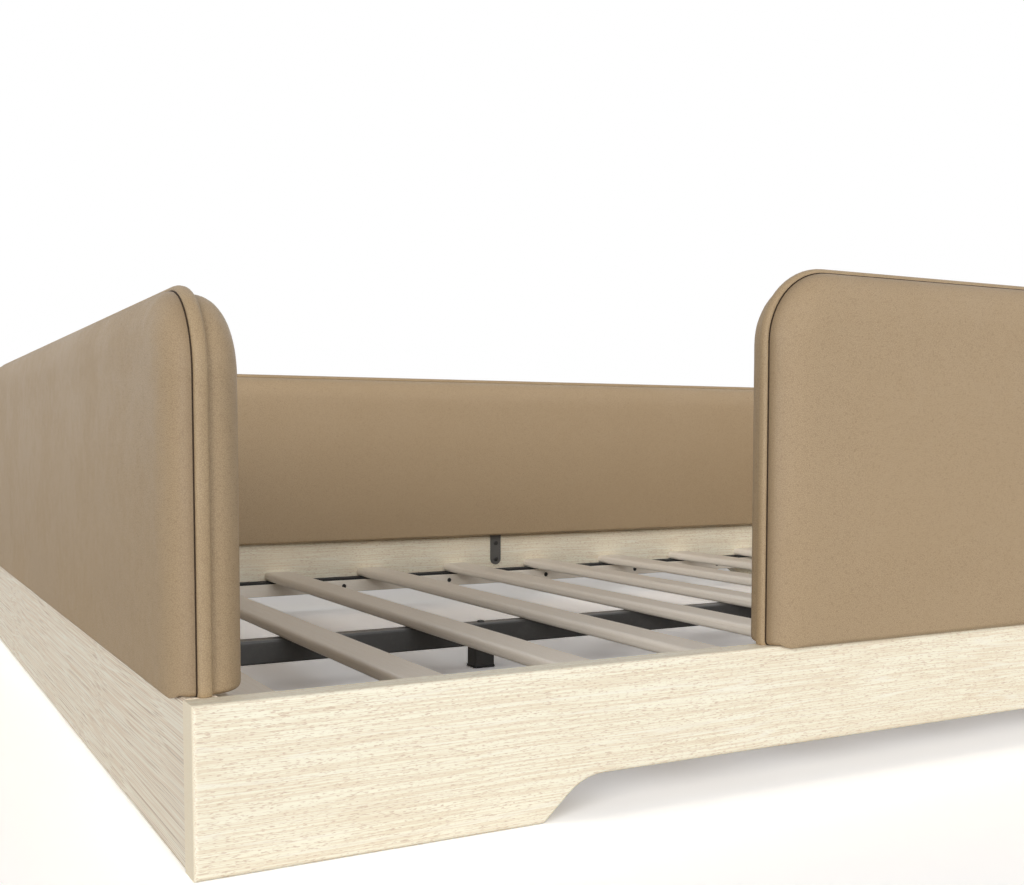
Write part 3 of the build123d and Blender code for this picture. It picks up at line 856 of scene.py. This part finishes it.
class PaddedGuard:
    """A guard: a core board with a leather pad on each face, an edge band and a welted seam."""

    crest: float = 0.0055
    corner_radius: float = 0.0745
    foot_radius: float = 0.005
    outer_inset: float = 0.0005
    inner_inset: float = 0.0015
    inner_fill: float = 0.0022
    welt_radius: float = 0.0011
    welt_sides: int = 8
    foot_sag: float = 0.0060
    sag_start: float = 0.0005
    sag_run: float = 0.006
    sag_height: float = 0.03
    swell: float = 0.0008
    swell_start: float = 0.01
    swell_run: float = 0.05
    ripple: float = 0.00022
    ripple_at: float = 0.005
    ripple_width: float = 0.006
    pleat: float = 0.027
    wide_pleat: float = 0.061
    band_power: float = 0.62
    band_inset: float = 0.0005
    band_under: float = 0.0019
    band_lap: float = 0.0008
    welt_inset: float = 0.0006
    calm_depth: float = 0.01
    calm_share: float = 0.22
    wave_lengths: tuple = ((0.5, 0.8), (0.3, 0.45), (0.18, 0.26), (0.1, 0.15))
    phases: float = 6.28
    smooth_angle: float = 1.2
    pocket_gap: float = 0.0004
    pocket_behind: float = 0.002
    head_room: float = 0.0058

    def __init__(self, name: str, side: BedSide, wardrobe: Wardrobe, seed: int, nodes: dict) -> None:
        """Measure the guard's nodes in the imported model.

        Args:
            name: Name that the guard's nodes start with.
            side: The side that it stands on.
            wardrobe: The bed's finishes.
            seed: Number that settles the small unevenness of its covers.
            nodes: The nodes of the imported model.
        """
        self.name = name
        self.nodes = nodes
        self.side = side
        self.wardrobe = wardrobe
        self.random = np.random.default_rng(seed)
        (first, last), (self.bottom, top), (self.outer, self.inner) = side.span(f"{name}_band")
        self.first, self.last, self.top = first + self.crest, last - self.crest, top - self.crest
        self.face_outer = side.span(f"{name}_outer_pad")[2][0]
        self.face_inner = side.span(f"{name}_inner_pad")[2][1]

    def outline(self, inset: float, lift: float = 0.0003) -> PanelOutline:
        """Give the outline of the guard's seams, drawn in at its ends and top.

        Args:
            inset: How far it is drawn in.
            lift: Room left over the board.

        Returns:
            The outline.
        """
        edges = (self.first + inset, self.last - inset, self.bottom + lift, self.top - inset)
        return PanelOutline(*edges, self.corner_radius - inset, self.foot_radius)

    def unevenness(self, outline: PanelOutline, ring: tuple, inset: float) -> np.ndarray:
        """Give the small swells and gathers of a stretched cover.

        Args:
            outline: The pad's outline.
            ring: The places along the side and the heights of one ring's points.
            inset: Inset of the ring from the outline.

        Returns:
            Heights to add to the pad's face.
        """
        along, up = ring
        face = np.clip((inset - self.swell_start) / self.swell_run, 0.0, 1.0)
        swell = np.zeros_like(along)
        for wave, turn, phase in self.waves:
            run = along * math.cos(turn) + up * math.sin(turn)
            swell += np.sin(2 * math.pi * run / wave + phase) * wave
        swell *= self.swell / sum(wave for wave, _, _ in self.waves)
        gather = np.exp(-(((inset - self.ripple_at) / self.ripple_width) ** 2))
        length = outline.lengths()
        pleat = np.sin(2 * math.pi * length / self.pleat + 1.3 * np.sin(length / 0.05 + self.phase))
        pleat += 0.6 * np.sin(2 * math.pi * length / self.wide_pleat + self.phase)
        near_corner = self.calm_share + (1 - self.calm_share) * outline.corner_share()
        return face * swell + gather * self.ripple * pleat * near_corner

    def pad(self, name: str, inset: float, outer: bool) -> Piece:
        """Build one pad.

        Args:
            name: Name of the piece.
            inset: How far its outline lies inside the guard's.
            outer: True for the pad on the outer face, False for the one on the inner face.

        Returns:
            The piece.
        """
        draw, phases = self.random.uniform, self.phases
        self.waves = [(draw(low, high), draw(0, math.pi), draw(0, phases)) for low, high in self.wave_lengths]
        self.phase = draw(0, phases)
        outline = self.outline(inset)
        depth = self.outer - self.face_outer if outer else self.face_inner - self.inner + self.inner_fill
        rings = []
        shape = PadShape(depth)
        section = shape.profile(outline.top - outline.bottom)
        for ring_inset, foot_inset, height in section:
            along, up = outline.ring(ring_inset, foot_inset).T
            uneven = self.unevenness(outline, (along, up), ring_inset)
            lift = height + uneven * min(height / self.calm_depth, 1.0)
            if outer:
                hang = np.clip((height - (self.outer + self.sag_start)) / self.sag_run, 0.0, 1.0)
                near_foot = np.clip(1 - (up - outline.bottom) / self.sag_height, 0.0, 1.0) ** 2
                up = up - self.foot_sag * hang * near_foot
            deep = self.outer - lift if outer else self.inner + lift
            rings.append(self.side.place(along, up, deep))
        count = len(rings[0])
        faces = ring_faces(len(rings), count, False)
        faces += cap_faces(0, outline) + cap_faces((len(rings) - 1) * count, outline)
        piece = mesh_object(name, np.concatenate(rings), faces, self.smooth_angle)
        # Each point's share of painted shade near the seam; only the outer pads get it.
        near = piece.data.attributes.new(PAINTED_SHADE_ATTRIBUTE, "FLOAT", "POINT")
        shares = shape.painted_seam_shade_share(section) * float(outer)
        near.data.foreach_set("value", np.repeat(shares, count))
        for boxes in () if outer else self.pockets():
            carve(piece, self.side, boxes)
        self.wardrobe.dress(piece, "pad", Slot.LEATHER)
        return piece

    def pockets(self) -> tuple[list, list]:
        """Find the room that the straps and their screws' heads take behind the inner cushion.

        Returns:
            The boxes of the straps and those of the screws' heads, as carve takes them.
        """
        straps, heads = [], []
        solids = solids_of(self.nodes["guard_core_screws"])
        screws = [self.side.measure(solid.min(axis=0), solid.max(axis=0)) for solid in solids]
        gap, behind = self.pocket_gap, self.inner - self.pocket_behind
        for name in self.nodes:
            if not name.startswith(f"{self.name}_strap_"):
                continue
            (first, last), (bottom, top), (_, deep) = self.side.span(name)
            straps.append(((first - gap, last + gap), (bottom - gap, top + gap), (behind, deep + gap)))
            for along, up, depth in screws:
                at, height = sum(along) / 2, sum(up) / 2
                if first < at < last and bottom < height < top and abs(depth[1] - deep) < 0.01:
                    sides = (at - self.head_room, at + self.head_room)
                    levels = (height - self.head_room, height + self.head_room)
                    heads.append((sides, levels, (behind - gap, depth[1] + gap)))
        return straps, heads

    def looped(self, name: str, section: list, use: str) -> Piece:
        """Carry a closed section round the guard's outline.

        Args:
            name: Name of the piece.
            section: Pairs of inset and depth.
            use: Name of its finish.

        Returns:
            The piece.
        """
        outline = self.outline(0.0, 0.0)
        rings = []
        for inset, depth in section:
            along, up = outline.ring(inset, inset).T
            up = np.maximum(up, self.bottom)
            rings.append(self.side.place(along, up, np.full_like(along, depth)))
        faces = ring_faces(len(rings), len(rings[0]), True)
        piece = mesh_object(name, np.concatenate(rings), faces, self.smooth_angle)
        self.wardrobe.dress(piece, use, Slot.LEATHER)
        return piece

    def band(self) -> Piece:
        """Build the padded band over the core board's edge, with a broad crest between its seams.

        Returns:
            The piece.
        """
        thick = self.inner - self.outer
        section = []
        for turn in np.linspace(0.0, math.pi, 19):
            proud = self.crest * math.sin(turn) ** self.band_power
            section.append((self.band_inset - proud, (self.outer + self.inner - thick * math.cos(turn)) / 2))
        section += [(self.band_under, depth) for depth in (self.inner - self.band_lap, self.outer + self.band_lap)]
        return self.looped(f"{self.name}_edge_band", section, "band")

    def welt(self) -> Piece:
        """Build the dark welt in the seam between the outer pad and the band.

        Returns:
            The piece.
        """
        section = []
        for turn in np.linspace(0.0, 2 * math.pi, self.welt_sides, endpoint=False):
            inset = self.welt_inset + self.welt_radius * math.cos(turn)
            section.append((inset, self.outer + self.welt_radius * math.sin(turn)))
        return self.looped(f"{self.name}_seam_welt", section, "seam")

    def build(self) -> list:
        """Build the guard's covers and put each in the place of its node.

        Returns:
            The pieces.
        """
        outer = self.pad(f"{self.name}_outer_cushion", self.outer_inset, True)
        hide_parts(f"{self.name}_outer_pad")
        inner = self.pad(f"{self.name}_inner_cushion", self.inner_inset, False)
        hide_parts(f"{self.name}_inner_pad")
        band = self.band()
        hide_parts(f"{self.name}_band")
        pieces = [outer, inner, band, self.welt()]
        for piece in pieces:
            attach(piece, BODY)
        return pieces


def solids_of(node: Piece) -> list:
    """Find the separate solids in a node's mesh.

    Args:
        node: The node's object.

    Returns:
        The points of each solid, one array each.
    """
    count = len(node.data.vertices)
    points = np.zeros(count * 3)
    node.data.vertices.foreach_get("co", points)
    points = points.reshape(-1, 3)
    _, number = np.unique(np.round(points / 1e-5).astype(np.int64), axis=0, return_inverse=True)
    number = number.reshape(-1)
    edges = np.zeros(len(node.data.edges) * 2, np.int64)
    node.data.edges.foreach_get("vertices", edges)
    ends = number[edges].reshape(-1, 2)
    label = np.arange(number.max() + 1)
    while True:
        lowest = label.copy()
        np.minimum.at(lowest, ends[:, 0], label[ends[:, 1]])
        np.minimum.at(lowest, ends[:, 1], label[ends[:, 0]])
        lowest = lowest[lowest]
        if (lowest == label).all():
            break
        label = lowest
    owner = label[number]
    return [points[owner == name] for name in np.unique(owner)]


@dataclass(frozen=True)
class ScrewStyle:
    """Form of a screw or bolt: how high and wide its head is, how it is rounded, and its key recess."""

    head_height: float
    key_radius: float
    key_depth: float
    dome: float = 0.5
    sides: int = 24
    spread: float = 1.0
    taller: float = 0.0

    def rings(self, head: float, shank: float, length: float) -> list:
        """Draw the screw as rings along its axis, from its tip to the bottom of its six-sided key recess.

        Args:
            head: Radius of the head.
            shank: Radius of the shank.
            length: Length under the head.

        Returns:
            Pairs of a height over the seat and the radii at that height.
        """
        shape = [(-length, 0.35 * shank), (-length + shank, shank), (0.0, shank), (0.0, head)]
        for share, drawn in ((0.35, 0.0), (0.68, 0.07), (0.9, 0.26), (1.0, 0.55)):
            shape.append((self.head_height * share, head * (1 - drawn * self.dome)))
        shape = [(height, radius * np.ones(self.sides)) for height, radius in shape]
        turn = np.arange(self.sides) * 2 * math.pi / self.sides
        bent = (turn + math.pi / 6) % (math.pi / 3) - math.pi / 6
        key = self.key_radius * (math.cos(math.pi / 6) / np.cos(math.pi / 6 - np.abs(bent)))
        return shape + [(self.head_height, key), (self.head_height - self.key_depth, key * 0.96)]


def build_screws(node: Piece, name: str, style: ScrewStyle) -> Piece:
    """Build finer screws in the places of a node's plain ones.

    Args:
        node: The node's object.
        name: Name of the new piece.
        style: Form of the screws.

    Returns:
        The piece.
    """
    points, faces = [], []
    for solid in solids_of(node):
        low, high = solid.min(axis=0), solid.max(axis=0)
        axis = int(np.argmax(high - low))
        cross = [other for other in range(3) if other != axis]
        ends = [np.abs(solid[:, axis] - end) < SAME_LEVEL for end in (low[axis], high[axis])]
        wide = [np.ptp(solid[end][:, cross], axis=0).max() for end in ends]
        sign = 1.0 if wide[1] > wide[0] else -1.0
        head, shank = max(wide) / 2 * style.spread, min(wide) / 2
        plain_height = style.head_height - style.taller
        length = high[axis] - low[axis] - plain_height
        seat = (high[axis] if sign > 0 else low[axis]) - sign * plain_height
        centre = (low + high) / 2
        turn = np.arange(style.sides) * 2 * math.pi / style.sides + 0.7 * float(centre.sum())
        start = len(points)
        for height, radii in style.rings(head, shank, length):
            ring = np.tile(centre, (style.sides, 1))
            ring[:, axis] = seat + sign * height
            ring[:, cross] += np.stack([radii * np.cos(turn), radii * np.sin(turn)], axis=1)
            points.extend(ring)
        rings = (len(points) - start) // style.sides
        found = ring_faces(rings, style.sides, False)
        found += [tuple(range(style.sides)), tuple(range((rings - 1) * style.sides, rings * style.sides))]
        faces += [tuple(start + number for number in face) for face in found]
    return mesh_object(name, np.array(points), faces, 0.6)


@dataclass(frozen=True)
class Assembly:
    """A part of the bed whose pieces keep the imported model's shapes: rows of nodes, finish and slot."""

    wardrobe: Wardrobe
    parts: tuple = ()

    def build(self, nodes: dict) -> list:
        """Finish the pieces.

        Args:
            nodes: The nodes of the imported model.

        Returns:
            The pieces.
        """
        pieces = []
        for names, use, slot in self.parts:
            for name in names:
                self.wardrobe.dress(nodes[name], use, slot)
                pieces.append(nodes[name])
        return pieces


@dataclass(frozen=True)
class TimberFrame(Assembly):
    """The four boards, and the ledges on the long ones."""

    parts: tuple = (
        (("front_rail", "back_rail"), "long_board", Slot.FRAME_WOOD),
        (("left_end_rail", "right_end_rail"), "end_board", Slot.FRAME_WOOD),
        (("front_slat_ledge", "back_slat_ledge"), "ledge", Slot.SLAT_WOOD),
    )


@dataclass(frozen=True)
class SlatBase(Assembly):
    """The slats and the rubber strips under their ends."""

    parts: tuple = (
        (tuple(f"slat_{number:02d}" for number in range(1, 11)), "slat", Slot.SLAT_WOOD),
        (("front_ledge_strip", "back_ledge_strip"), "rubber", Slot.RUBBER),
    )


@dataclass(frozen=True)
class CentreSupport(Assembly):
    """The beam, its cradles, and its two legs with their feet and nuts."""

    parts: tuple = (
        (("centre_beam", "left_beam_cradle", "right_beam_cradle"), "beam_coat_painted_lighter", Slot.STEEL),
        (("left_centre_leg", "right_centre_leg"), "leg", Slot.STEEL),
        (("left_leg_foot", "right_leg_foot"), "plastic", Slot.PLASTIC),
        (("leg_nuts",), "zinc", Slot.ZINC),
    )


@dataclass(frozen=True)
class Fittings(Assembly):
    """The straps, corner brackets, core boards, screws and bolts."""

    def build(self, nodes: dict) -> list:
        """Finish the straps, brackets and core boards, and build finer screws and bolts.

        Args:
            nodes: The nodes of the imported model.

        Returns:
            The pieces.
        """
        pieces = []
        for name, node in nodes.items():
            if "_strap_" in name or name.endswith("_corner_bracket"):
                self.wardrobe.dress(node, "fitting_coat_painted_lighter", Slot.STEEL)
                pieces.append(node)
            elif name.endswith("_core"):
                self.wardrobe.dress(node, "core", Slot.CORE_BOARD)
                pieces.append(node)
        pan = ScrewStyle(0.0026, 0.0019, 0.0013, 0.9, spread=1.15)
        cap = ScrewStyle(0.0075, 0.0023, 0.0012, 0.15, spread=1.06, taller=0.0035)
        bolt = ScrewStyle(0.0032, 0.0025, 0.0018, 0.8)
        for node_name, name, style in (
            ("ledge_screws", "ledge_cap_screws", cap),
            ("rail_screws", "rail_pan_screws", pan),
            ("guard_core_screws", "core_pan_screws", pan),
            ("leg_bolts", "leg_button_bolts", bolt),
        ):
            piece = build_screws(nodes[node_name], name, style)
            self.wardrobe.dress(piece, "screw", Slot.SCREW)
            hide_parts(node_name)
            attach(piece, BODY)
            pieces.append(piece)
        return pieces


@dataclass(frozen=True)
class SoftLamp:
    """One wide lamp far off: its level, its place seen from the bed and its spread, in degrees."""

    name: str
    level: float
    left_of_front: float
    height: float
    spread: float
    tint: Colour = (1.0, 0.99, 0.975)

    def place(self) -> None:
        """Put the lamp into the scene."""
        data = bpy.data.lights.new(self.name, "SUN")
        data.energy = self.level * math.pi
        data.angle = math.radians(self.spread)
        data.color = self.tint
        lamp = bpy.data.objects.new(self.name, data)
        lamp.rotation_euler = (math.radians(90.0 - self.height), 0.0, -math.radians(self.left_of_front))
        bpy.context.scene.collection.objects.link(lamp)


@dataclass
class Studio:
    """Plain pale floor, soft light, and the camera."""

    eye: tuple = (-1.28669, -1.73297, 0.35780)
    yaw: float = math.radians(28.477)
    pitch: float = math.radians(3.317)
    lens: float = 43.456
    shift: float = 0.0679
    clip: tuple = (0.01, 200.0)
    floor_size: float = 60.0
    floor_lit: tuple = (0.55, 0.545, 0.54, 1.0)
    floor_seen: tuple = (1.77, 1.77, 1.79, 1.0)
    open_from: float = 2.2
    open_to: float = 6.0
    lamps: tuple = (SoftLamp("key", 0.53, 50.0, 16.0, 30.0), SoftLamp("fill", 0.215, 0.0, 16.0, 30.0))
    even: float = 0.256
    low: float = 0.594
    low_right: float = 1.473
    fall: float = 4.0

    def camera(self) -> None:
        """Place the camera at the photograph's point of view."""
        data = bpy.data.cameras.new("view")
        data.sensor_fit, data.sensor_width = "HORIZONTAL", 36.0
        data.lens, data.shift_y = self.lens, self.shift
        data.clip_start, data.clip_end = self.clip
        camera = bpy.data.objects.new("view", data)
        camera.location = self.eye
        camera.rotation_euler = (math.pi / 2 - self.pitch, 0.0, -self.yaw)
        bpy.context.scene.collection.objects.link(camera)
        bpy.context.scene.camera = camera

    def floor(self) -> None:
        """Lay the floor, which looks white where it is open and keeps the bed's shadow."""
        half = self.floor_size / 2
        points = np.array([(-half, -half, 0.0), (half, -half, 0.0), (half, half, 0.0), (-half, half, 0.0)])
        piece = mesh_object("studio_floor", points, [(0, 1, 2, 3)])
        for polygon in piece.data.polygons:
            if polygon.normal.z < 0:
                polygon.flip()
        material, sheet = new_material("studio_floor")
        plain = sheet.add("BsdfDiffuse", {"Color": self.floor_lit})
        seen = sheet.add("BsdfDiffuse", {"Color": self.floor_seen})
        where = sheet.add("NewGeometry").outputs["Position"]
        away = sheet.add("VectorMath", {0: where}, operation="LENGTH").outputs["Value"]
        blank = sheet.add("Emission", {"Color": WHITE, "Strength": 1.0})
        far = sheet.ramp(away, self.open_from, self.open_to)
        seen = sheet.add("MixShader", {0: far, 1: seen.outputs[0], 2: blank.outputs[0]})
        camera = sheet.add("LightPath").outputs["Is Camera Ray"]
        mixed = sheet.add("MixShader", {0: camera, 1: plain.outputs[0], 2: seen.outputs[0]})
        sheet.add("OutputMaterial", {"Surface": mixed.outputs[0]})
        piece.data.materials.append(material)

    def light(self) -> None:
        """Set the lamps and the room's light, which is brightest near the floor and on the front right."""
        for lamp in self.lamps:
            lamp.place()
        world = bpy.data.worlds.new("studio")
        world.use_nodes = True
        sheet = NodeSheet(world.node_tree)
        way = sheet.add("TexCoord").outputs["Generated"]
        x, y, z = sheet.add("SeparateXYZ", {0: way}).outputs
        right = sheet.math("MULTIPLY", sheet.math("SUBTRACT", x, y), math.sqrt(0.5))
        right = sheet.math("MULTIPLY", sheet.math("MAXIMUM", right, 0.0), self.low_right)
        depth = sheet.math("SUBTRACT", 1.0, sheet.math("MAXIMUM", z, 0.0))
        level = sheet.math("POWER", depth, self.fall)
        level = sheet.math("MULTIPLY", level, sheet.math("ADD", right, self.low))
        level = sheet.math("ADD", level, self.even)
        room, white = (sheet.add("Background", {"Color": WHITE, "Strength": power}) for power in (level, 1.0))
        path = sheet.add("LightPath").outputs
        seen = sheet.math("MAXIMUM", path["Is Camera Ray"], path["Is Glossy Ray"])
        seen = sheet.math("MAXIMUM", seen, path["Is Transmission Ray"])
        mixed = sheet.add("MixShader", {0: seen, 1: room.outputs[0], 2: white.outputs[0]})
        sheet.add("OutputWorld", {"Surface": mixed.outputs[0]})
        bpy.context.scene.world = world

    def build(self) -> None:
        """Set up the camera, the floor and the light."""
        bpy.context.scene.view_settings.view_transform = "Standard"
        self.camera()
        self.floor()
        self.light()


def bed_sides() -> dict:
    """Measure the four sides of the bed from its boards.

    Returns:
        Each side by its name.
    """
    front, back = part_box("front_rail")[0].y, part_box("back_rail")[1].y
    left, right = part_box("left_end_rail")[0].x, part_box("right_end_rail")[1].x
    return {
        "front": BedSide((0.0, front), (1.0, 0.0), (0.0, 1.0)),
        "back": BedSide((0.0, back), (-1.0, 0.0), (0.0, -1.0)),
        "left": BedSide((left, 0.0), (0.0, -1.0), (1.0, 0.0)),
        "right": BedSide((right, 0.0), (0.0, 1.0), (-1.0, 0.0)),
    }


def main() -> None:
    """Build the studio and then the bed's visible pieces in order."""
    logging.basicConfig(level=logging.INFO, format="%(message)s")
    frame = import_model()
    nodes = frame["nodes"]
    Studio().build()
    wardrobe = Wardrobe()
    built = TimberFrame(wardrobe).build(nodes)
    built += SlatBase(wardrobe).build(nodes)
    built += CentreSupport(wardrobe).build(nodes)
    built += Fittings(wardrobe).build(nodes)
    for seed, (place, side) in enumerate(bed_sides().items()):
        built += PaddedGuard(f"{place}_guard", side, wardrobe, seed, nodes).build()
    for piece in built:
        log.info("built %s", piece.name)


if __name__ == "__main__":
    main()
